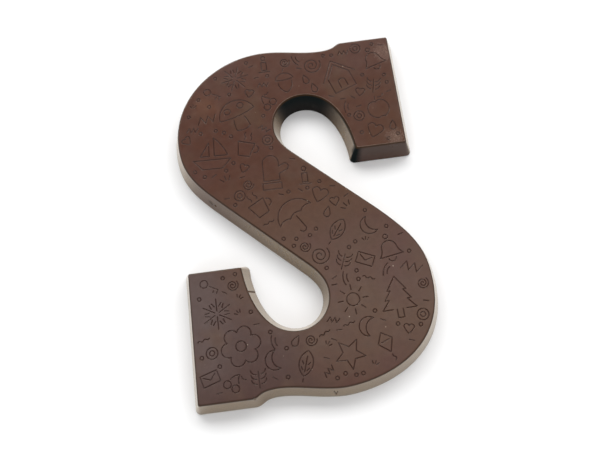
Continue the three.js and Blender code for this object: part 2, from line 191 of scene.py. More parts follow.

# A pale highlight painted along the rim's crest, round the upper bay.
CREST_FROM = (THICKNESS - 0.2, THICKNESS - 0.06)
CREST_TO = (THICKNESS - 0.015, THICKNESS - 0.002)
CREST_FACING = (-0.2, 0.5)
CREST_FROM_X = (-32.0, -24.0)
CREST_FROM_Y = (18.0, 26.0)

# ---- Colours, as linear light ----

UPPER_RED = (0.0652, 0.0213, 0.0106, 1)
MIDDLE_OLIVE = (0.0766, 0.0348, 0.0174, 1)
LOWER_COOL = (0.0530, 0.0215, 0.0150, 1)
CORNER_PALE = (0.0700, 0.0395, 0.0330, 1)  # the lower left corner
PATCH_RED = (0.0700, 0.0270, 0.0185, 1)
PATCH_OLIVE = (0.0740, 0.0350, 0.0190, 1)
WARM = (0.110, 0.044, 0.022, 1)  # one small patch at the upper left
MOTTLE = (0.85, 0.84, 0.82, 1)  # multiplies the colour under it
# The pale film painted on the sides for their reflection of the table.
PAINTED_REFLECTION = (0.140, 0.092, 0.036, 1)  # on the sides
# Painted shade in the grooves, cracks and the rim line, and a paler painted highlight in some grooves at the
# upper left.
GROOVE_SHADE = (0.025, 0.011, 0.008, 1)
GROOVE_HIGHLIGHT = (0.070, 0.036, 0.026, 1)  # at the upper left
# Pale rubbed chocolate, and also the painted highlight on the rim's crest.
RUBBED_AND_HIGHLIGHT = (0.30, 0.20, 0.15, 1)
CRUMB = (0.35, 0.27, 0.20, 1)
# Painted shade on the upper bay's wall, dull and nearly black; along the rim it is mixed with the brown
# below.
SHADED = (0.005, 0.009, 0.0095, 1)  # the upper bay's dull dark wall
CRACKED = (0.090, 0.040, 0.012, 1)  # the dull brown inside a crack
SIDE_TINT = (1.0, 0.90, 0.75, 1)  # of the film's clear glaze
TABLE = (0.86, 0.86, 0.86, 1)

# ---- Chocolate, in metres and per metre ----
# RED_FROM and GROOVE_HIGHLIGHT_FROM run up and to the left, COOL_FROM and PALE_FROM down and to the left.

NOISE_SPREAD = (0.3, 0.7)  # nearly all of a noise's values
FINE_NOISE = (3.0, 0.6)  # detail and roughness
DRIFT = 0.012  # how far the borders between colours wander
DRIFT_SCALE = 25.0
RED_SLANT = -0.5  # of the border between olive and red
RED_FROM = (-0.025, 0.045)
COOL_FROM = (0.055, 0.095)
PALE_FROM = (0.060, 0.090)
PALE_TO_X = (-0.047, -0.033)
PALE_FROM_Y = (-0.088, -0.070)
# Soft patches: scale, where in the noise they start and are full, strength and colour.
PATCHES = [
    (33.0, 0.50, 0.72, 0.8, PATCH_RED),
    (52.0, 0.54, 0.70, 0.7, PATCH_OLIVE),
]
WARM_PLACE = (-0.0399, 0.0585, 0.011)
WARM_REACH = (0.001, 0.009)
WARM_SHARE = 0.6
WARM_WANDER = 0.002
WARM_SCALE = 180.0
MOTTLE_SCALE = 420.0
# The painted reflection film on the sides is cloudy and streaked.
PAINTED_REFLECTION_CLOUD = (120.0, 0.7)  # scale, and the least of the film that is left
PAINTED_REFLECTION_STREAK = (500.0, 0.8)
STREAK_STRETCH = (1.0, 1.0, 0.15)
# How much painted shade darkens the grooves, and where a painted highlight lies in them at the upper left.
GROOVE_SHARE = 0.8
GROOVE_HIGHLIGHT_FROM = (0.085, 0.115)
GROOVE_HIGHLIGHT_SCALE = 90.0
GROOVE_HIGHLIGHT_NOISE = (0.45, 0.60)
RUB_SCALE = 2200.0
RUB_NOISE = (0.54, 0.64)
RUB_WHOLE = (0.90, 0.98)  # a scuff this strong is rubbed all over
RUB_WHOLE_SHARE = 0.6
RUB_SHARE = 0.8
CRUMB_SCALE = 260.0
CRUMB_CHOSEN = (0.86, 0.95)  # only a few cells hold a crumb
CRUMB_SIZE = (0.05, 0.09)
CRUMB_ON_PAINTED_REFLECTION = 0.2
CRUMB_SHARE = 0.7

ROUGHNESS = 0.22
ROUGHNESS_SPREAD = 0.05
ROUGHNESS_SCALE = 300.0
SCUFF_ROUGHNESS = 0.2  # how much rougher a scuff is
SIDE_GLOSS = 0.07  # how much smoother the sides are
IOR = 1.5
GLAZE_SHARE = 0.7
GLAZE_ROUGHNESS = 0.14
DULL_ROUGHNESS = 0.5
DULL_IOR = 1.1
SWELL_SCALE = 70.0
SWELL_STRENGTH = 0.5
SWELL_HEIGHT = 0.0002
GRAIN_SCALE = 1800.0
GRAIN_STRENGTH = 0.35
GRAIN_HEIGHT = 0.00004

# ---- Table, camera and light ----

TABLE_HALF = 3000.0
TABLE_SINK = 0.02  # keeps it clear of the underside
TABLE_ROUGHNESS = 0.7

IMAGE_WIDTH_PX = 600
FOCAL_PX = 675.2
SENSOR_WIDTH = 36.0
NEAR_CLIP = 10.0
CAMERA_DISTANCE = 325.3
CAMERA_TILT = math.radians(18.2)  # away from straight down, towards the letter's foot
CAMERA_TURN = math.radians(-7.14)  # of the picture's top against the letter's
CAMERA_SIDE = math.radians(-90.24)
CAMERA_AIM = (-1.12, -5.62, 0.0)

# The room. Its places are a direction's x, y and z, and a pair is where one light gives way to another.
CEILING = (0.29, 0.29, 0.30, 1)
CEILING_FROM = (0.78, 0.84)
WALLS = (0.85, 0.85, 0.85, 1)
WALL_LEFT = (0.6, 0.6, 0.6, 1)
WALL_FRONT = (1.15, 1.15, 1.15, 1)  # at the letter's foot
WALL_FADE = (-0.6, -0.2)
WALLS_LOW = (1.0, 1.0, 1.0, 1)
WALLS_LOW_TO = (0.25, 0.45)
BLACK = (0, 0, 0, 1)

# A narrow bright panel overhead.
PANEL_MIDDLE = (0.0, 0.20)
PANEL_HALF = (0.55, 0.06)
PANEL_FADE = 0.08
PANEL_FROM_Z = (0.0, 0.2)
PANEL_LIGHT = (1.2, 1.2, 1.2, 1)

# The softbox at the letter's top. A lamp gives its light and the shadows, the room shows its glow.
SOFTBOX_SIDE = math.radians(82)
SOFTBOX_FULL = math.radians(25)  # to either side of its middle
SOFTBOX_FADED = math.radians(60)
SOFTBOX_OFF_TOP = (math.radians(52), math.radians(32))
SOFTBOX_EDGE = 0.03
LEVEL_LEAST = 0.001  # keeps the bearing finite straight up
SOFTBOX_GLOW = (0.35, 0.35, 0.35, 1)
SOFTBOX_POWER = 154.0

# A lower, warmer lamp that shows only in reflections.
GLINT_SIDE = math.radians(100)
GLINT_OFF_TOP = (math.radians(70), math.radians(52))
GLINT_POWER = 220.0
GLINT_COLOUR = (1.0, 0.88, 0.74)

LAMP_DISTANCE = 4000.0
LAMP_SIZE = (6200.0, 1700.0)


# ---- Outline ----

def unit(v):
    return v / np.hypot(*v)


def right_of(v):
    return np.array([v[1], -v[0]])


def turn_between(a, b):
    return math.atan2(a[0] * b[1] - a[1] * b[0], a[0] * b[0] + a[1] * b[1])


def rotated(points, angle):
    c, s = math.cos(angle), math.sin(angle)
    return points @ np.array([[c, s], [-s, c]])


class Curve:
    """A cubic curve or a straight line, walked by the share of its length."""

    def __init__(self, *handles):
        self.handles = np.array(handles, float)
        self.straight = len(handles) == 2
        t = np.linspace(0, 1, CURVE_SAMPLES)
        steps = np.diff(self.position(t), axis=0)
        self.walked = np.concatenate([[0], np.cumsum(np.hypot(*steps.T))])
        self.length = self.walked[-1]

    def position(self, t):
        t = np.atleast_1d(t)[:, None]
        h = self.handles
        if self.straight:
            return h[0] + (h[1] - h[0]) * t
        return (1 - t) ** 3 * h[0] + 3 * t * (1 - t) ** 2 * h[1] + 3 * t * t * (1 - t) * h[2] + t ** 3 * h[3]

    def direction(self, t):
        t = np.atleast_1d(t)[:, None]
        h = self.handles
        if self.straight:
            slope = np.repeat((h[1] - h[0])[None], len(t), 0)
        else:
            slope = (1 - t) ** 2 * (h[1] - h[0]) + 2 * t * (1 - t) * (h[2] - h[1]) + t * t * (h[3] - h[2])
        return slope / np.hypot(*slope.T)[:, None]

    def at(self, share):
        """Positions and directions at these shares of the length."""
        t = np.interp(np.atleast_1d(share) * self.length, self.walked, np.linspace(0, 1, CURVE_SAMPLES))
        return self.position(t), self.direction(t)


def half_curves(bowl, turn):
    """The curves of one half of the face's outline, counter-clockwise from the slab's inner corner."""
    right, up = np.array([1.0, 0.0]), np.array([0.0, 1.0])
    inner, outer = (HALF_WIDTH, SLAB_END), (HALF_WIDTH, HALF_HEIGHT)
    step_outer, step_inner = (STEP_OUTER_X, HALF_HEIGHT), (STEP_INNER_X, HALF_HEIGHT - STEP_DROP)
    crown, wide = (CROWN_X, HALF_HEIGHT), (-HALF_WIDTH, bowl["wide"])
    mouth = (-SLAB_BAY_X, -SLAB_END)
    along = unit(np.subtract(SPINE_END, SPINE_START))
    lean = np.array([math.sin(BAY_MOUTH_LEAN), -math.cos(BAY_MOUTH_LEAN)])

    def line(a, b):
        return Curve(np.multiply(a, turn), np.multiply(b, turn))

    def bend(a, leaving, arriving, b):
        return Curve(*(np.multiply(p, turn) for p in (a, np.add(a, leaving), np.add(b, arriving), b)))

    return [
        line(inner, outer),
        line(outer, step_outer),
        bend(step_outer, -right * STEP_REACH["outer"], right * STEP_REACH["inner"], step_inner),
        bend(step_inner, -right * CROWN_REACH["step"], right * CROWN_REACH["crown"], crown),
        bend(crown, -right * bowl["crown"], up * bowl["shoulder"], wide),
        bend(wide, -up * bowl["flank"], -along * bowl["spine"], SPINE_START),
        line(SPINE_START, SPINE_END),
        bend(SPINE_END, along * BAY_REACH["spine"], up * BAY_REACH["side_top"], BAY_SIDE),
        bend(BAY_SIDE, -up * BAY_REACH["side_bottom"], right * BAY_REACH["floor_side"], BAY_FLOOR),
        bend(BAY_FLOOR, -right * BAY_REACH["floor_mouth"], lean * BAY_REACH["mouth"], mouth),
        line(mouth, (-HALF_WIDTH, -SLAB_END)),
    ]


OUTLINE_CURVES = half_curves(UPPER_BOWL, 1) + half_curves(LOWER_BOWL, -1)


def outline_stations(shares_of):
    """The outline as ("edge", point, outward) and ("corner", point, arriving, leaving) entries.

    shares_of(curve, start, end) gives the shares of a curve's length at which its points lie.
    """
    stations = []
    for i, curve in enumerate(OUTLINE_CURVES):
        before = OUTLINE_CURVES[i - 1]
        after = OUTLINE_CURVES[(i + 1) % len(OUTLINE_CURVES)]
        start, end = curve.direction(0)[0], curve.direction(1)[0]
        leaving = after.direction(0)[0]
        corner_at_start = abs(turn_between(before.direction(1)[0], start)) > CORNER_TURN
        corner_at_end = abs(turn_between(end, leaving)) > CORNER_TURN
        low = CORNER_TRIM / curve.length if corner_at_start else 0.0
        high = 1 - CORNER_TRIM / curve.length if corner_at_end else 1.0
        shares = shares_of(curve, low, high)
        points, directions = curve.at(shares if corner_at_end else shares[:-1])
        stations += [("edge", p, right_of(d)) for p, d in zip(points, directions)]
        if corner_at_end:
            stations.append(("corner", curve.position(1)[0], end, leaving))
    return stations


def ring_at(stations, grow, corner_steps):
    """The outline moved outwards by grow, with its corners rounded: points and outward directions."""
    share = min(max(grow / DRAFT, 0), 1)
    radius = FACE_CORNER_RADIUS + (BASE_CORNER_RADIUS - FACE_CORNER_RADIUS) * share
    points, outward = [], []
    for kind, at, *rest in stations:
        if kind == "edge":
            points.append(at + rest[0] * grow)
            outward.append(rest[0])
            continue
        arriving, leaving = rest
        turn = turn_between(arriving, leaving)
        out = right_of(arriving)
        tip = at + arriving * grow * math.tan(turn / 2) + out * grow
        start = tip - arriving * radius * math.tan(turn / 2)
        centre = start - out * radius
        for k in range(corner_steps + 1):
            spoke = rotated(out, turn * k / corner_steps)
            points.append(centre + spoke * radius)
            outward.append(spoke)
    return np.array(points), np.array(outward)


def layout_ring():
    def shares_of(curve, low, high):
        steps = 1 if curve.straight else math.ceil((high - low) * curve.length / LAYOUT_STEP)
        return np.linspace(low, high, steps + 1)

    return ring_at(outline_stations(shares_of), 0.0, LAYOUT_CORNER_STEPS)[0]


# ---- Drawings ----
# A stroke is a run of (x, y, bulge). The bulge is the tangent of a quarter of the angle that the arc to
# the next point turns through, positive counter-clockwise and 0 for a straight line. Sizes are shares of
# the drawing's radius.

def path(*nodes, closed=False):
    return [tuple(n) if len(n) == 3 else (*n, 0.0) for n in nodes], closed


def loop(*nodes):
    return path(*nodes, closed=True)


def ring(radius, x=0.0, y=0.0):
    return loop((x - radius, y, 1), (x + radius, y, 1))


def polar(radius, angle, bulge=0.0):
    return radius * math.cos(angle), radius * math.sin(angle), bulge


def around(count):
    return [2 * math.pi * k / count for k in range(count)]


def star():
    return [loop(*(polar(0.45 if k % 2 else 1, a + math.pi / 2) for k, a in enumerate(around(10))))]


def flower():
    return [loop(*(polar(0.66, a, 1.1) for a in around(6))), ring(0.24)]


def snowflake():
    arms = [path(polar(0.18, a), polar(1, a)) for a in around(6)]
    barbs = [path(polar(0.5, a + 0.27 * side), polar(0.78, a + 0.42 * side))
             for side in (-1, 1) for a in around(6)]
    return arms + barbs


def leaf():
    veins = [path((side * 0.14, y), (side * 0.27, y + 0.18))
             for y in (-0.25, 0.12) for side in (-1, 1)]
    blade = loop((0, -0.62, 0.55), (0, 1, 0.55))
    return [blade, path((0, -0.36), (0, 0.65)), path((0, -0.8), (0, -1))] + veins


def sprig():
    leaves = [path((side * 0.22, y, 0.35 * side), (side * 0.72, y + 0.45))
              for y in (-0.6, -0.15, 0.3) for side in (-1, 1)]
    return [path((0, -1), (0, 0.6))] + leaves


def crescent():
    return [loop((0.4, -0.9, -1.35), (0.4, 0.9, 0.6))]


def mitten():
    hand = loop((-0.45, -0.45), (0.35, -0.45), (0.35, -0.1), (0.72, 0.08, 0.95), (0.6, 0.42), (0.35, 0.3),
                (0.35, 0.55, 0.9), (-0.45, 0.55))
    return [hand, loop((-0.52, -0.9), (0.42, -0.9), (0.42, -0.57), (-0.52, -0.57))]


def bell():
    body = loop((-0.8, -0.5), (0.8, -0.5, -0.2), (0.5, 0.15, 0.8), (-0.5, 0.15, -0.2))
    return [body, path((-0.25, -0.66, 0.9), (0.25, -0.66)), ring(0.16, 0, 0.86)]


def acorn():
    nut = path((-0.5, -0.1, 0.3), (0, -0.95, 0.3), (0.5, -0.1))
    return [loop((-0.65, 0.15, 0.12), (0.65, 0.15, 0.75)), nut, path((0, 0.8), (0.1, 1))]


def mushroom():
    stem = path((-0.28, -0.24, 0.1), (-0.36, -0.85, 0.25), (0.36, -0.85, 0.1), (0.28, -0.24))
    return [loop((-0.95, 0, 0.12), (0.95, 0, 0.85)), stem, ring(0.16, -0.4, 0.35), ring(0.16, 0.35, 0.4)]


def cup():
    steam = [path((x, 0.45, 0.4), (x, 0.72, -0.4), (x, 1)) for x in (-0.3, 0.15)]
    body = loop((-0.7, 0.25), (-0.5, -0.8), (0.3, -0.8), (0.5, 0.25))
    return [body, path((0.64, 0.1, -0.9), (0.54, -0.45))] + steam


def sailboat():
    hull = loop((-0.95, -0.35), (0.95, -0.35), (0.5, -0.85), (-0.5, -0.85))
    sail = loop((0.12, 0.85, -0.12), (0.8, -0.15), (0.12, -0.15))
    return [hull, sail, loop((-0.14, 0.6), (-0.14, -0.15), (-0.6, -0.15))]


def umbrella():
    canopy = loop((-0.95, 0, -0.35), (-0.32, 0, -0.35), (0.32, 0, -0.35), (0.95, 0, 0.85))
    return [canopy, path((0, -0.06), (0, -0.75, -1), (-0.32, -0.75))]


def house():
    walls = loop((-0.6, -0.85), (0.6, -0.85), (0.6, 0.05), (0, 0.74), (-0.6, 0.05))
    door = path((-0.18, -0.7), (-0.18, -0.3, -0.6), (0.2, -0.3), (0.2, -0.7))
    return [walls, door, path((0.9, -0.05), (0, 0.98), (-0.9, -0.05))]


def key():
    shaft = path((0.02, 0), (0.95, 0), (0.95, -0.4))
    return [ring(0.38, -0.57, 0), shaft, path((0.6, -0.22), (0.6, -0.48))]


def fir_tree():
    side = [(0.32, -0.55), (0.8, -0.55), (0.42, -0.1), (0.62, -0.1), (0.3, 0.35), (0.45, 0.35)]
    left = [(-x, y) for x, y in side]
    trunk = path((-0.14, -0.55), (-0.14, -0.95), (0.14, -0.95), (0.14, -0.55))
    return [path(*left, (0, 1), *reversed(side)), trunk]


def cherries():
    stems = path((-0.42, -0.02, -0.25), (0.1, 0.8, 0.2), (0.47, 0.06))
    leaf_edge = path((0.32, 0.75, 0.4), (0.85, 0.72))
    return [ring(0.36, -0.42, -0.58), ring(0.36, 0.47, -0.5), stems, leaf_edge]


def apple():
    body = loop((0, 0.4, 0.45), (-0.6, 0.3, 0.55), (-0.2, -0.85, -0.3), (0.2, -0.85, 0.55), (0.6, 0.3, 0.45))
    return [body, path((0.02, 0.58), (0.1, 0.86)), path((0.28, 0.72, 0.45), (0.72, 0.82))]


def candle():
    stick = loop((-0.28, -0.8), (0.28, -0.8), (0.28, 0.2), (-0.28, 0.2))
    return [stick, loop((0, 0.4, 0.75), (0, 0.98, 0.75)), path((-0.6, -1), (0.6, -1))]


def envelope():
    sheet = loop((-0.85, -0.55), (0.85, -0.55), (0.85, 0.55), (-0.85, 0.55))
    return [sheet, path((-0.6, 0.32), (0, -0.12), (0.6, 0.32))]


def sun():
    return [ring(0.42)] + [path(polar(0.65, a), polar(0.98, a)) for a in around(8)]


def kite():
    sheet = loop((0, 0.95), (-0.5, 0.35), (0, -0.4), (0.5, 0.35))
    tail = path((0, -0.58, 0.4), (0.1, -0.8, -0.4), (0, -1))
    return [sheet, path((-0.28, 0.35), (0.28, 0.35)), tail]


def heart():
    return [loop((0, -0.85, 0.12), (0.85, 0.3, 0.85), (0, 0.42, 0.85), (-0.85, 0.3, 0.12))]


def spiral():
    turns, steps = 2.1, 12
    bulge = math.tan(2 * math.pi * turns / steps / 4)
    return [path(*(polar(0.14 + 0.86 * k / steps, 2 * math.pi * turns * k / steps, bulge)
                          for k in range(steps + 1)))]


def rings():
    return [ring(0.95), ring(0.42)]


def zigzag():
    places = enumerate((-1, -0.6, -0.2, 0.2, 0.6, 1))
    return [path(*((x, 0.42 if k % 2 else -0.42) for k, x in places))]


def wave():
    places = enumerate((-1, -0.5, 0, 0.5, 1))
    return [path(*((x, 0, 0.55 if k % 2 else -0.55) for k, x in places))]


def rays():
    bearings = [math.pi / 2 + lean for lean in (-0.6, 0, 0.6)]
    return [path(polar(0.5, a), polar(1, a)) for a in bearings]


def drop():
    return [loop((0, 1, 0.12), (-0.55, -0.35, 0.95), (0.55, -0.35, 0.12))]


def brackets():
    return [path((x, -0.85 + x, -0.25), (x, 0.85 - x)) for x in (-0.3, 0.2)]


def dash():
    return [path((-0.9, 0), (0.9, 0))]


def bead():
    return [ring(0.62)]


# Sizes of drawing, the largest first: radius, how many at most, and what is drawn in turn.
DRAWINGS = [
    (9.6, 7, (sailboat, mitten, umbrella, fir_tree, mushroom, house, flower)),
    (6.9, 13, (snowflake, bell, leaf, cup, star, acorn, sun, apple, kite)),
    (4.6, 22, (sprig, crescent, candle, cherries, envelope, key, spiral, heart, zigzag, rays)),
    (2.7, 60, (spiral, zigzag, heart, rays, rings, wave, drop, brackets)),
    (1.3, 90, (bead, dash, bead)),
]


def seeded_draw(seed):
    """Draws between -1 and 1, one after another."""
    modulus, multiplier = 2147483647, 16807
    state = seed
    while True:
        state = state * multiplier % modulus
        yield state / modulus * 2 - 1


def distance_to_loop(points, corners):
    a, b = corners, np.roll(corners, -1, 0)
    d = b - a
    w = points[:, None] - a[None]
    t = np.clip((w * d).sum(2) / (d * d).sum(1), 0, 1)
    return np.hypot(*np.moveaxis(w - t[..., None] * d, 2, 0)).min(1)


def inside_loop(points, corners):
    a, b = corners, np.roll(corners, -1, 0)
    x, y = points[:, :1], points[:, 1:]
    spans = (a[:, 1] > y) != (b[:, 1] > y)
    with np.errstate(divide="ignore", invalid="ignore"):
        crossing_x = a[:, 0] + (y - a[:, 1]) * (b[:, 0] - a[:, 0]) / (b[:, 1] - a[:, 1])
    return (spans & (x < crossing_x)).sum(1) % 2 == 1


def place_drawings():
    """Drawings spread over the face by throwing darts: (x, y, angle, radius, strokes)."""
    face = layout_ring()
    draw = seeded_draw(DRAWING_SEED)
    placed = []
    for radius, most, kinds in DRAWINGS:
        count = 0
        for _ in range(TRIES):
            if count >= most:
                break
            x = next(draw) * HALF_WIDTH
            y = next(draw) * HALF_HEIGHT
            angle = next(draw) * DRAWING_LEAN
            if any(math.hypot(x - p[0], y - p[1]) <= radius + p[3] + DRAWING_GAP for p in placed):
                continue
            here = np.array([[x, y]])
            if not inside_loop(here, face)[0] or distance_to_loop(here, face)[0] < radius + DRAWING_MARGIN:
                continue
            placed.append((x, y, angle, radius, kinds[count % len(kinds)]()))
            count += 1
    return placed


def stroke_points(stroke, drawing, step):
    """The points along a stroke at its place on the face, no further apart than step."""
    nodes, closed = stroke
    x, y, angle, radius, _ = drawing
    corners = rotated(np.array([n[:2] for n in nodes]) * radius, angle) + (x, y)
    runs = []
    for i in range(len(nodes) if closed else len(nodes) - 1):
        a, b = corners[i], corners[(i + 1) % len(nodes)]
        sweep = 4 * math.atan(nodes[i][2])
        chord = b - a
        if abs(sweep) < 1e-6:
            shares = np.arange(max(1, math.ceil(np.hypot(*chord) / step)))[:, None]
            runs.append(a + chord * shares / len(shares))
            continue
        arc = abs(sweep) * np.hypot(*chord) / 2 / math.sin(abs(sweep) / 2)
        centre = (a + b) / 2 + np.array([-chord[1], chord[0]]) * 0.5 / math.tan(sweep / 2)
        steps = max(2, math.ceil(arc / step))
        runs.append(np.array([rotated(a - centre, sweep * k / steps) + centre for k in range(steps)]))
    if not closed:
        runs.append(corners[-1:])
    return np.concatenate(runs)


# ---- The letter's mesh ----

def fine_shares(curve, low, high):
    """Shares of a curve's length, RIM_STEP apart and closer together beside a mark."""
    t = np.linspace(low, high, SHARE_SAMPLES)
    points, directions = curve.at(t)
    wall = points + right_of(directions.T).T * DRAFT / 2
    reach = np.min([np.hypot(*(wall - place[:2]).T) for place in SIDE_MARKS], 0)
    steps = np.where(reach < MARK_REACH, MARK_STEP, RIM_STEP)
    walked = np.concatenate([[0], np.cumsum(np.diff(t) * curve.length / steps[1:])])
    count = max(1, math.ceil(walked[-1]))
    return np.interp(np.linspace(0, walked[-1], count + 1), walked, t)


def side_levels():
    """(grow, z) of each ring from the underside up to the face's flat."""
    slope = math.atan2(DRAFT, THICKNESS - BASE_BEVEL)
    bend = math.pi / 2 - slope
    tangent_length = RIM_RADIUS * math.tan(bend / 2)
    rim = [(RIM_RADIUS * math.cos(a) - tangent_length, RIM_FOOT + RIM_RADIUS * math.sin(a))
           for a in np.linspace(slope, math.pi / 2, RIM_ROWS + 1)]
    foot = (DRAFT, BASE_BEVEL)
    wall = [tuple(np.add(foot, np.subtract(rim[0], foot) * k / SIDE_ROWS)) for k in range(SIDE_ROWS)]
    flat_edge = DRAFT - BASE_BEVEL
    bulge = BASE_BEVEL * BEVEL_BULGE
    return [(flat_edge - UNDER_BORDER, 0.0), (flat_edge, 0.0), (DRAFT - bulge, bulge)] + wall + rim


def filled(boundary, inner):
    """Triangles over the area inside a loop, through the loop's own points and the inner ones.

    Returns the extra points and the triangles, with the loop's points numbered first.
    """
    count = len(boundary)
    points = [Vector(p) for p in np.concatenate([boundary, inner])]
    made, _, faces, origin, _, _ = delaunay_2d_cdt(points, [], [list(range(count))], INSIDE_ONLY, MERGED)
    number = [min(o) if o else -1 for o in origin]
    places = np.array([tuple(p) for p in made])
    extra = [i for i, n in enumerate(number) if n < 0 or n >= count]
    index = {i: count + k for k, i in enumerate(extra)}
    index.update({i: n for i, n in enumerate(number) if 0 <= n < count})
    triangles = np.array([[index[i] for i in f] for f in faces])
    everything = np.concatenate([boundary, places[extra]])
    a, b, c = (everything[triangles[:, k]] for k in range(3))
    turned = (b[:, 0] - a[:, 0]) * (c[:, 1] - a[:, 1]) - (b[:, 1] - a[:, 1]) * (c[:, 0] - a[:, 0]) < 0
    triangles[turned] = triangles[turned][:, ::-1]
    return places[extra], triangles


def spread_out(points, gap, kept=()):
    """The points, without those closer than gap to an earlier one or to a kept one."""
    cells, chosen = {}, []
    for p in kept:
        cells.setdefault((int(p[0] // gap), int(p[1] // gap)), []).append(p)
    for p in points:
        cx, cy = int(p[0] // gap), int(p[1] // gap)
        near = (q for dx in (-1, 0, 1) for dy in (-1, 0, 1) for q in cells.get((cx + dx, cy + dy), ()))
        if any((q[0] - p[0]) ** 2 + (q[1] - p[1]) ** 2 < gap * gap for q in near):
            continue
        cells.setdefault((cx, cy), []).append(p)
        chosen.append(p)
    return np.array(chosen)


def groove_lines(drawings):
    """Every stroke as (points, closed), finely stepped."""
    return [(stroke_points(s, d, GROOVE_STEP), s[1]) for d in drawings for s in d[4]]


def groove_rows(lines):
    """Points of the mesh along each groove, in rows beside its middle, and round its ends and corners."""
    rows = {distance: [] for distance in GROOVE_ROWS}
    for points, closed in lines:
        before = np.roll(points, 1, 0)
        after = np.roll(points, -1, 0)
        if not closed:
            before[0], after[-1] = points[0], points[-1]
        for p, a, b in zip(points, before, after):
            ways = [unit(w) for w in (p - a, b - p) if np.hypot(*w) > 1e-6]
            turn = turn_between(ways[0], ways[-1])
            rows[GROOVE_ROWS[0]].append(p)
            for distance in GROOVE_ROWS[1:]:
                if len(ways) == 1:
                    out = ways[0] if (b == p).all() else -ways[0]
                    spokes = [rotated(out, math.pi / 2 * k / 2) for k in (-2, -1, 0, 1, 2)]
                elif abs(turn) > GROOVE_TURN:
                    side = right_of(ways[0]) * math.copysign(1, turn)
                    steps = math.ceil(abs(turn) / GROOVE_TURN)
                    spokes = [rotated(side, turn * k / steps) for k in range(steps + 1)]
                    spokes.append(-unit(spokes[0] + spokes[-1]) / max(math.cos(turn / 2), MITRE_LEAST))
                else:
                    side = right_of(unit(ways[0] + ways[-1]))
                    spokes = [side, -side]
                rows[distance] += [p + s * distance for s in spokes]
    return np.concatenate([np.array(rows[d]) for d in GROOVE_ROWS])


def from_grooves(points, lines):
    """How far each point is from the middle of the nearest groove, and the direction away from it."""
    starts, ends = [], []
    for run, closed in lines:
        after = np.roll(run, -1, 0)
        starts.append(run if closed else run[:-1])
        ends.append(after if closed else after[:-1])
    a, b = np.concatenate(starts), np.concatenate(ends)
    tree = KDTree(len(a))
    for i, p in enumerate((a + b) / 2):
        tree.insert((*p, 0), i)
    tree.balance()
    found = np.array([[hit[1] for hit in tree.find_n((*p, 0), NEAR_PIECES)] for p in points])
    d = (b - a)[found]
    w = points[:, None] - a[found]
    t = np.clip((w * d).sum(2) / (d * d).sum(2), 0, 1)
    away = w - t[..., None] * d
    reach = np.hypot(*np.moveaxis(away, 2, 0))
    first = reach.argmin(1)
    every = np.arange(len(points))
    reach = reach[every, first]
    return reach, away[every, first] / np.maximum(reach, 1e-9)[:, None]


def smoothstep(low, high, x):
    t = np.clip((x - low) / (high - low), 0, 1)
    return t * t * (3 - 2 * t)


def smoothstep_slope(low, high, x):
    t = np.clip((x - low) / (high - low), 0, 1)
    return 6 * t * (1 - t) / (high - low)


def between(rise, fall, x):
    """1 where something has risen and not yet fallen."""
    return smoothstep(*rise, x) * (1 - smoothstep(*fall, x))


def distance_to_line(points, line):
    """How far each point is from a run of straight pieces, in space."""
    best = np.full(len(points), 1e9)
    for a, b in zip(np.array(line[:-1], float), np.array(line[1:], float)):
        d = b - a
        t = np.clip((points - a) @ d / (d @ d), 0, 1)
        best = np.minimum(best, np.linalg.norm(points - a - t[:, None] * d, axis=1))
    return best


def fading(reach, radius, core):
    """1 up to this share of the radius, and fading to 0 at the radius."""
    return 1 - smoothstep(radius * core, radius, reach)


def raised(points, z):
    return np.column_stack([points, np.full(len(points), z)])


def waviness(points, height, size, seed):
    """Smooth noise up to this height, with features of this size."""
    return height * np.array([noise.noise(Vector(p) / size + Vector((seed, 0, 0))) for p in points])


def side_painted_reflection(sides, outward):
    """Pale film painted for the sides' reflection of the table: none on the rim, nor where the upper half
    faces the foot.
    """
    no_reflection = smoothstep(*NO_REFLECTION_FACING, -outward[:, 1]) * smoothstep(*NO_REFLECTION_FROM_Y, sides[:, 1])
    return (1 - smoothstep(*PAINTED_REFLECTION_TO, sides[:, 2])) * (1 - no_reflection)


def side_shade(sides, outward):
    """How much painted shade darkens and dulls the sides: the upper bay's roof, the corner beside it, and
    along the rim.
    """
    x, y, z = sides.T
    in_bay = between(BAY_FROM_X, BAY_TO_X, x) * smoothstep(*BAY_FROM_Y, y)
    facing = smoothstep(*ROOF_FACING, -outward[:, 1])
    roof = facing * in_bay * (ROOF_SHADE + ROOF_SHADE_TOP * smoothstep(*ROOF_TOP, z))
    end = END_SHADE * facing * smoothstep(*END_FROM_X, x) * smoothstep(*BAY_FROM_Y, y)
    corner = fading(distance_to_line(sides, CORNER_RUN), CORNER_REACH, CORNER_CORE)
    bay_edge = in_bay * smoothstep(*BAY_EDGE_TURN, -outward[:, 0])
    rim_low = RIM_FOOT - RIM_DROP - BAY_EDGE_DROP * bay_edge
    rim_fade = RIM_FADE + BAY_EDGE_FADE * bay_edge
    rim = (RIM_SHADE + BAY_EDGE_SHADE * bay_edge) * smoothstep(0, rim_fade, z - rim_low)
    return np.max([roof, end, corner, rim], axis=0) * (1 - smoothstep(*FACE_FADE, z))


def rim_painted_highlight(sides, outward):
    """How pale a painted highlight makes the rim's crest: round the upper bay and at the upper slab's foot.
    """
    x, y, z = sides.T
    crest = between(CREST_FROM, CREST_TO, z) * smoothstep(*CREST_FACING, -outward[:, 1])
    return crest * smoothstep(*CREST_FROM_Y, y) * smoothstep(*CREST_FROM_X, x)


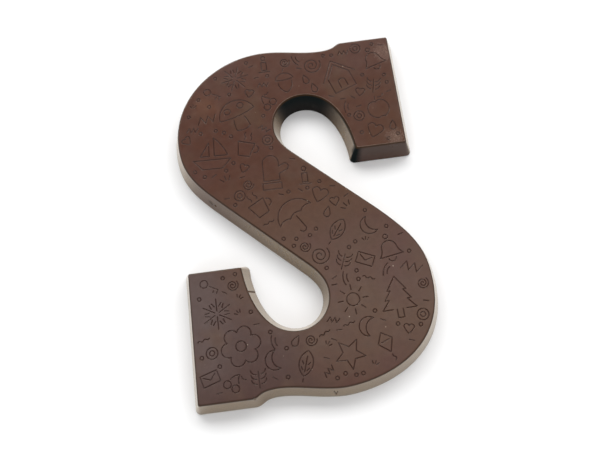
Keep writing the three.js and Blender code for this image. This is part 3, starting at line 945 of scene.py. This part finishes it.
def side_marks(sides, outward):
    """Grooves, dark scratches, scuffs, painted shade, highlight and reflection film on the sides, and
    outward moves.
    """
    z = sides[:, 2]
    groove = RIM_BROWN * between(RIM_BAND, FACE_FADE, z)
    scuff_and_highlight = rim_painted_highlight(sides, outward)
    shade_and_stain = side_shade(sides, outward)
    reflection_film = side_painted_reflection(sides, outward)
    push = waviness(sides, *SIDE_SWELL) * between(SIDE_SWELL_FROM, SIDE_SWELL_TO, z)
    for line, half_width, depth, dark, pale in SIDE_SCRATCHES:
        amount = fading(distance_to_line(sides, line), half_width, SCRATCH_CORE)
        push -= depth * amount
        shade_and_stain = np.maximum(shade_and_stain, dark * amount)
        groove = np.maximum(groove, dark * amount)
        reflection_film *= 1 - dark * amount
        scuff_and_highlight = np.maximum(scuff_and_highlight, pale * amount)
    return np.column_stack([groove, scuff_and_highlight, shade_and_stain, reflection_film]), push


def side_quads(levels, count):
    """Rows of quads between rings of this many points."""
    k = np.arange(count)
    after = (k + 1) % count
    row = np.column_stack([k, after, after + count, k + count])
    return np.concatenate([row + level * count for level in range(levels - 1)])


def grid_inside(edge, reach, step, stagger=0.0):
    """A grid of points inside this edge and half a step from it, with every other row moved over."""
    xs, ys = (np.arange(-far, far, step) for far in reach)
    grid = np.array([(x + stagger * (j % 2), y) for j, y in enumerate(ys) for x in xs])
    grid = grid[inside_loop(grid, edge)]
    return grid[distance_to_loop(grid, edge) > step / 2]


def make_face(rim, lines):
    """Points inside the face's rim, triangles, how deep in a groove each point is, and its normal."""
    rows = spread_out(groove_rows(lines), NEAREST)
    grid = grid_inside(rim, (HALF_WIDTH, HALF_HEIGHT), FIELD_STEP, FIELD_STEP / 2)
    flat, triangles = filled(rim, np.concatenate([rows, spread_out(grid, FIELD_GAP, rows)]))
    reach, away = from_grooves(flat, lines)
    cut = 1 - smoothstep(GROOVE_FLAT, GROOVE_EDGE, reach)
    rise = GROOVE_DEPTH * smoothstep_slope(GROOVE_FLAT, GROOVE_EDGE, reach)
    normals = np.column_stack([-away * rise[:, None], np.ones(len(flat))])
    normals /= np.linalg.norm(normals, axis=1)[:, None]
    return np.column_stack([flat, THICKNESS - GROOVE_DEPTH * cut]), triangles, cut, normals


def make_under(base):
    """The points inside the underside's edge, slightly uneven, and the triangles."""
    flat, triangles = filled(base, grid_inside(base, UNDER_REACH, UNDER_STEP))
    return np.column_stack([flat, UNDER_SWELL[0] + waviness(raised(flat, 0.0), *UNDER_SWELL)]), triangles


def put(name, data):
    """A new object in the scene."""
    placed = bpy.data.objects.new(name, data)
    bpy.context.collection.objects.link(placed)
    return placed


def build_letter():
    lines = groove_lines(place_drawings())
    stations = outline_stations(fine_shares)
    rings = [(*ring_at(stations, grow, CORNER_STEPS), z) for grow, z in side_levels()]
    base, rim = rings[0][0], rings[-1][0]
    count = len(rim)
    sides = np.concatenate([raised(points, z) for points, _, z in rings])
    outward = np.concatenate([raised(out, 0.0) for _, out, _ in rings])
    face, face_triangles, cut, face_normals = make_face(rim, lines)
    under, under_triangles = make_under(base)

    # The face's points follow the last ring's, and the underside's come last.
    places = np.concatenate([sides, face, under])
    first_face, first_under = len(sides), len(sides) + len(face)
    last_ring = first_face - count
    face_map = np.arange(last_ring, first_under)
    under_map = np.concatenate([np.arange(count), np.arange(first_under, len(places))])
    polygons = side_quads(len(rings), count).tolist()
    polygons += face_map[face_triangles].tolist()
    polygons += under_map[under_triangles][:, ::-1].tolist()

    # Red is how deep in a groove or crack a point is, and on the sides how dark its painted rim line and
    # scratches are; green its scuff and painted highlight; blue its painted shade and stain; alpha its
    # painted reflection film.
    marks = np.zeros((len(places), 4))
    marks[:first_face], push = side_marks(sides, outward)
    marks[first_face:first_under, 0] = cut
    places[:first_face] += outward * push[:, None]
    for spots, channel, core in ((SCUFFS, 1, SCUFF_CORE), (STAINS, 2, STAIN_CORE)):
        for place, radius, strength in spots:
            amount = strength * fading(np.linalg.norm(places - place, axis=1), radius, core)
            marks[:, channel] = np.maximum(marks[:, channel], amount)

    mesh = bpy.data.meshes.new("letter")
    mesh.from_pydata((places * MM).tolist(), [], polygons)
    mesh.polygons.foreach_set("use_smooth", [True] * len(mesh.polygons))
    layer = mesh.color_attributes.new("marks", "FLOAT_COLOR", "POINT")
    layer.data.foreach_set("color", marks.astype(np.float32).ravel())
    mesh.update()
    normals = np.empty((len(places), 3), np.float32)
    mesh.vertex_normals.foreach_get("vector", normals.ravel())
    normals[last_ring:first_face] = (0, 0, 1)
    normals[first_face:first_under] = face_normals
    mesh.normals_split_custom_set_from_vertices(normals.tolist())
    return put("letter", mesh)


# ---- Materials ----

class Nodes:
    """Short ways to put nodes into a tree."""

    def __init__(self, tree):
        self.tree = tree
        self.tree.nodes.clear()

    def add(self, kind, *values, settings=(), **named):
        """A node with these settings, and values or links in its first sockets and in those named."""
        node = self.tree.nodes.new("ShaderNode" + kind)
        for name, setting in dict(settings).items():
            setattr(node, name, setting)
        for socket, value in zip(node.inputs, values):
            self.set(socket, value)
        for name, value in named.items():
            self.set(node.inputs[name.replace("_", " ")], value)
        return node

    def set(self, socket, value):
        if isinstance(value, bpy.types.NodeSocket):
            self.tree.links.new(value, socket)
        else:
            socket.default_value = value

    def ramp(self, value, low, high, to_low=0.0, to_high=1.0):
        return self.add("MapRange", value, low, high, to_low, to_high).outputs["Result"]

    def noise(self, where, scale, detail=2.0, roughness=0.5):
        return self.add("TexNoise", where, Scale=scale, Detail=detail, Roughness=roughness).outputs[0]

    def wander(self, where, scale, least, most, detail=2.0, roughness=0.5):
        """Noise stretched to run between least and most."""
        return self.ramp(self.noise(where, scale, detail, roughness), *NOISE_SPREAD, least, most)

    def math(self, operation, *numbers):
        return self.add("Math", *numbers, settings={"operation": operation}).outputs[0]

    def times(self, a, b):
        return self.math("MULTIPLY", a, b)

    def vector(self, operation, a, b):
        return self.add("VectorMath", a, b, settings={"operation": operation})

    def mix(self, share, a, b, blend="MIX"):
        node = self.add("Mix", settings={"data_type": "RGBA", "blend_type": blend})
        for i, value in ((0, share), (6, a), (7, b)):  # the sockets of a mix of colours
            self.set(node.inputs[i], value)
        return node.outputs[2]


def ground_colour(n, where, x, y):
    """Redder at the top, duller in the middle and cooler at the lower left, patchy and finely mottled."""
    drift = n.wander(where, DRIFT_SCALE, -DRIFT, DRIFT)
    height = n.math("ADD", n.math("ADD", y, drift), n.times(x, RED_SLANT))
    leftward = n.math("SUBTRACT", n.times(x, -1.0), n.math("ADD", y, drift))
    colour = n.mix(n.ramp(height, *RED_FROM), MIDDLE_OLIVE, UPPER_RED)
    colour = n.mix(n.ramp(leftward, *COOL_FROM), colour, LOWER_COOL)
    pale = n.times(n.ramp(leftward, *PALE_FROM), n.ramp(x, *PALE_TO_X, 1.0, 0.0))
    pale = n.times(pale, n.ramp(y, *PALE_FROM_Y))
    colour = n.mix(pale, colour, CORNER_PALE)
    for scale, low, high, strength, patch in PATCHES:
        colour = n.mix(n.ramp(n.noise(where, scale), low, high, 0.0, strength), colour, patch)
    from_patch = n.vector("DISTANCE", where, WARM_PLACE).outputs["Value"]
    from_patch = n.math("ADD", from_patch, n.wander(where, WARM_SCALE, -WARM_WANDER, WARM_WANDER))
    colour = n.mix(n.ramp(from_patch, *WARM_REACH, WARM_SHARE, 0.0), colour, WARM)
    mottle = n.wander(where, MOTTLE_SCALE, 0.0, 1.0, *FINE_NOISE)
    return n.mix(mottle, colour, n.mix(1.0, colour, MOTTLE, "MULTIPLY"))


def painted_reflection_over(n, where, colour, reflection_film):
    """The pale film painted on the sides for their reflection of the table, cloudy and faintly streaked up
    and down.
    """
    upright = n.vector("MULTIPLY", where, STREAK_STRETCH).outputs[0]
    clouds = n.wander(where, *PAINTED_REFLECTION_CLOUD, 1.0, 3.0)
    streaks = n.wander(upright, *PAINTED_REFLECTION_STREAK, 1.0, 3.0)
    return n.mix(n.times(reflection_film, n.times(clouds, streaks)), colour, PAINTED_REFLECTION)


def grooves_over(n, where, x, y, colour, groove):
    """Painted shade darkens the grooves; in patches at the upper left a paler painted highlight takes its
    place.
    """
    groove_highlight = n.times(n.ramp(n.math("SUBTRACT", y, x), *GROOVE_HIGHLIGHT_FROM),
                    n.ramp(n.noise(where, GROOVE_HIGHLIGHT_SCALE, 1.0), *GROOVE_HIGHLIGHT_NOISE))
    return n.mix(n.times(groove, GROOVE_SHARE), colour, n.mix(groove_highlight, GROOVE_SHADE, GROOVE_HIGHLIGHT))


def wear_over(n, where, colour, scuff_and_highlight, reflection_film):
    """Rubbed corners and edges, a highlight painted on the rim's crest, and a few pale crumbs."""
    grain = n.ramp(n.noise(where, RUB_SCALE), *RUB_NOISE)
    worn_and_highlit = n.times(scuff_and_highlight, n.math("MAXIMUM", grain, n.ramp(scuff_and_highlight, *RUB_WHOLE, 0.0, RUB_WHOLE_SHARE)))
    colour = n.mix(n.times(worn_and_highlit, RUB_SHARE), colour, RUBBED_AND_HIGHLIGHT)
    cells = n.add("TexVoronoi", where, Scale=CRUMB_SCALE)
    lot = n.add("SeparateColor", cells.outputs["Color"]).outputs[0]
    chosen = n.times(n.ramp(lot, *CRUMB_CHOSEN), n.ramp(reflection_film, 0.0, 0.5, 1.0, CRUMB_ON_PAINTED_REFLECTION))
    crumb = n.times(n.ramp(cells.outputs["Distance"], *CRUMB_SIZE, 1.0, 0.0), chosen)
    return n.mix(n.times(crumb, CRUMB_SHARE), colour, CRUMB)


def chocolate_roughness(n, where, scuff_and_highlight, reflection_film):
    rough = n.wander(where, ROUGHNESS_SCALE, ROUGHNESS - ROUGHNESS_SPREAD, ROUGHNESS + ROUGHNESS_SPREAD,
                     *FINE_NOISE)
    rough = n.math("ADD", rough, n.times(scuff_and_highlight, SCUFF_ROUGHNESS))
    return n.math("SUBTRACT", rough, n.times(reflection_film, SIDE_GLOSS))


def chocolate_bump(n, where):
    swell = n.add("Bump", Height=n.noise(where, SWELL_SCALE), Strength=SWELL_STRENGTH,
                  Distance=SWELL_HEIGHT)
    return n.add("Bump", Height=n.noise(where, GRAIN_SCALE, *FINE_NOISE), Strength=GRAIN_STRENGTH,
                 Distance=GRAIN_HEIGHT, Normal=swell.outputs[0]).outputs[0]


def chocolate(n):
    """Glossy chocolate, glazed under the sides' painted reflection film, and dull and dark under painted
    shade and stains.
    """
    where = n.add("TexCoord").outputs["Object"]
    place = n.add("SeparateXYZ", where)
    x, y = place.outputs["X"], place.outputs["Y"]
    kept = n.add("Attribute", settings={"attribute_name": "marks"})
    marks = n.add("SeparateColor", kept.outputs["Color"])
    groove, scuff_and_highlight, shade_and_stain = (marks.outputs[i] for i in range(3))
    reflection_film = kept.outputs["Alpha"]

    colour = ground_colour(n, where, x, y)
    colour = painted_reflection_over(n, where, colour, reflection_film)
    colour = grooves_over(n, where, x, y, colour, groove)
    colour = wear_over(n, where, colour, scuff_and_highlight, reflection_film)
    bump = chocolate_bump(n, where)

    rough = chocolate_roughness(n, where, scuff_and_highlight, reflection_film)
    glossy = n.add("BsdfPrincipled", Base_Color=colour, Roughness=rough, IOR=IOR, Normal=bump,
                   Coat_Weight=n.times(reflection_film, GLAZE_SHARE), Coat_Roughness=GLAZE_ROUGHNESS, Coat_IOR=IOR,
                   Coat_Tint=SIDE_TINT)
    dull = n.add("BsdfPrincipled", Base_Color=n.mix(groove, SHADED, CRACKED), Roughness=DULL_ROUGHNESS,
                 IOR=DULL_IOR, Normal=bump)
    return n.add("MixShader", shade_and_stain, glossy.outputs[0], dull.outputs[0])


def table_top(n):
    return n.add("BsdfPrincipled", Base_Color=TABLE, Roughness=TABLE_ROUGHNESS, Specular_IOR_Level=0.0)


def new_material(name, shader):
    """A material with the shader that this function makes."""
    material = bpy.data.materials.new(name)
    material.use_nodes = True
    n = Nodes(material.node_tree)
    n.add("OutputMaterial", shader(n).outputs[0])
    return material


# ---- The stage ----

def make_table():
    half = TABLE_HALF * MM
    corners = [(-half, -half, 0), (half, -half, 0), (half, half, 0), (-half, half, 0)]
    mesh = bpy.data.meshes.new("table")
    mesh.from_pydata(corners, [], [(0, 1, 2, 3)])
    mesh.materials.append(new_material("table", table_top))
    table = put("table", mesh)
    table.location.z = -TABLE_SINK * MM


def room_light(n, x, y, z):
    """The ceiling and the walls: darker on the left, brighter in front and low down."""
    walls = n.mix(n.ramp(x, *WALL_FADE), WALL_LEFT, WALLS)
    walls = n.mix(n.ramp(y, *WALL_FADE), WALL_FRONT, walls)
    colour = n.mix(n.ramp(z, *WALLS_LOW_TO), WALLS_LOW, walls)
    return n.mix(n.ramp(z, *CEILING_FROM), colour, CEILING)


def softbox_share(n, x, y, z):
    """Where the softbox glows, by the bearing and the height of each direction."""
    level = n.math("SQRT", n.math("SUBTRACT", 1.0, n.times(z, z)))
    toward = n.math("ADD", n.times(x, math.cos(SOFTBOX_SIDE)), n.times(y, math.sin(SOFTBOX_SIDE)))
    bearing = n.math("DIVIDE", toward, n.math("ADD", level, LEVEL_LEAST))
    low, high = (math.cos(off_top) for off_top in SOFTBOX_OFF_TOP)
    share = n.times(n.ramp(bearing, math.cos(SOFTBOX_FADED), math.cos(SOFTBOX_FULL)),
                    n.ramp(z, low - SOFTBOX_EDGE, low + SOFTBOX_EDGE))
    return n.times(share, n.ramp(z, high - SOFTBOX_EDGE / 2, high, 1.0, 0.0))


def panel_share(n, x, y, z):
    """Where the panel overhead glows."""
    share = n.ramp(z, *PANEL_FROM_Z)
    for along, middle, half in zip((x, y), PANEL_MIDDLE, PANEL_HALF):
        off = n.math("ABSOLUTE", n.math("SUBTRACT", along, middle))
        share = n.times(share, n.ramp(off, half, half + PANEL_FADE, 1.0, 0.0))
    return share


def light_world():
    """A pale room with a softbox on its far side and a narrow panel overhead."""
    world = bpy.data.worlds.new("studio")
    bpy.context.scene.world = world
    world.use_nodes = True
    n = Nodes(world.node_tree)
    way = n.add("SeparateXYZ", n.add("TexCoord").outputs["Generated"])
    x, y, z = (way.outputs[axis] for axis in "XYZ")
    colour = room_light(n, x, y, z)
    for shape, light in ((softbox_share, SOFTBOX_GLOW), (panel_share, PANEL_LIGHT)):
        colour = n.mix(1.0, colour, n.mix(shape(n, x, y, z), BLACK, light), "ADD")
    back = n.add("Background", colour)
    n.add("OutputWorld", back.outputs[0])


def direction(off_top, side):
    """This far off straight up, towards this side: 0 is +X, and a quarter turn is +Y."""
    out = math.sin(off_top)
    return Vector((out * math.cos(side), out * math.sin(side), math.cos(off_top)))


def add_lamp(name, side, off_tops, power):
    """A broad lamp in this direction, aimed at the letter."""
    light = bpy.data.lights.new(name, "AREA")
    light.shape = "RECTANGLE"
    light.size, light.size_y = (extent * MM for extent in LAMP_SIZE)
    light.energy = power
    way = direction(sum(off_tops) / 2, side)
    lamp = put(name, light)
    lamp.location = way * LAMP_DISTANCE * MM
    lamp.rotation_mode = "QUATERNION"
    lamp.rotation_quaternion = (-way).to_track_quat("-Z", "Y")
    return lamp


def add_lamps():
    """The softbox, for light and shadows, and a lower lamp that only glints in the grooves' edges."""
    add_lamp("softbox", SOFTBOX_SIDE, SOFTBOX_OFF_TOP, SOFTBOX_POWER).visible_glossy = False
    glint = add_lamp("glint", GLINT_SIDE, GLINT_OFF_TOP, GLINT_POWER)
    glint.data.color = GLINT_COLOUR
    glint.visible_diffuse = False


def add_camera():
    away = direction(CAMERA_TILT, CAMERA_SIDE)
    right = (-away).cross(Vector((-math.sin(CAMERA_TURN), math.cos(CAMERA_TURN), 0))).normalized()
    up = right.cross(-away)
    place = (Vector(CAMERA_AIM) + away * CAMERA_DISTANCE) * MM
    data = bpy.data.cameras.new("camera")
    data.sensor_width = SENSOR_WIDTH
    data.lens = FOCAL_PX / IMAGE_WIDTH_PX * SENSOR_WIDTH
    data.clip_start = NEAR_CLIP * MM
    camera = put("camera", data)
    rotation = Matrix((right, up, away)).transposed().to_4x4()
    camera.matrix_world = Matrix.Translation(place) @ rotation
    bpy.context.scene.camera = camera


add_camera()
light_world()
add_lamps()
make_table()

letter = build_letter()
letter.data.materials.append(new_material("dark_chocolate", chocolate))
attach(letter, "root")
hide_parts("chocolate_letter")

bpy.context.scene.view_settings.view_transform = "Standard"
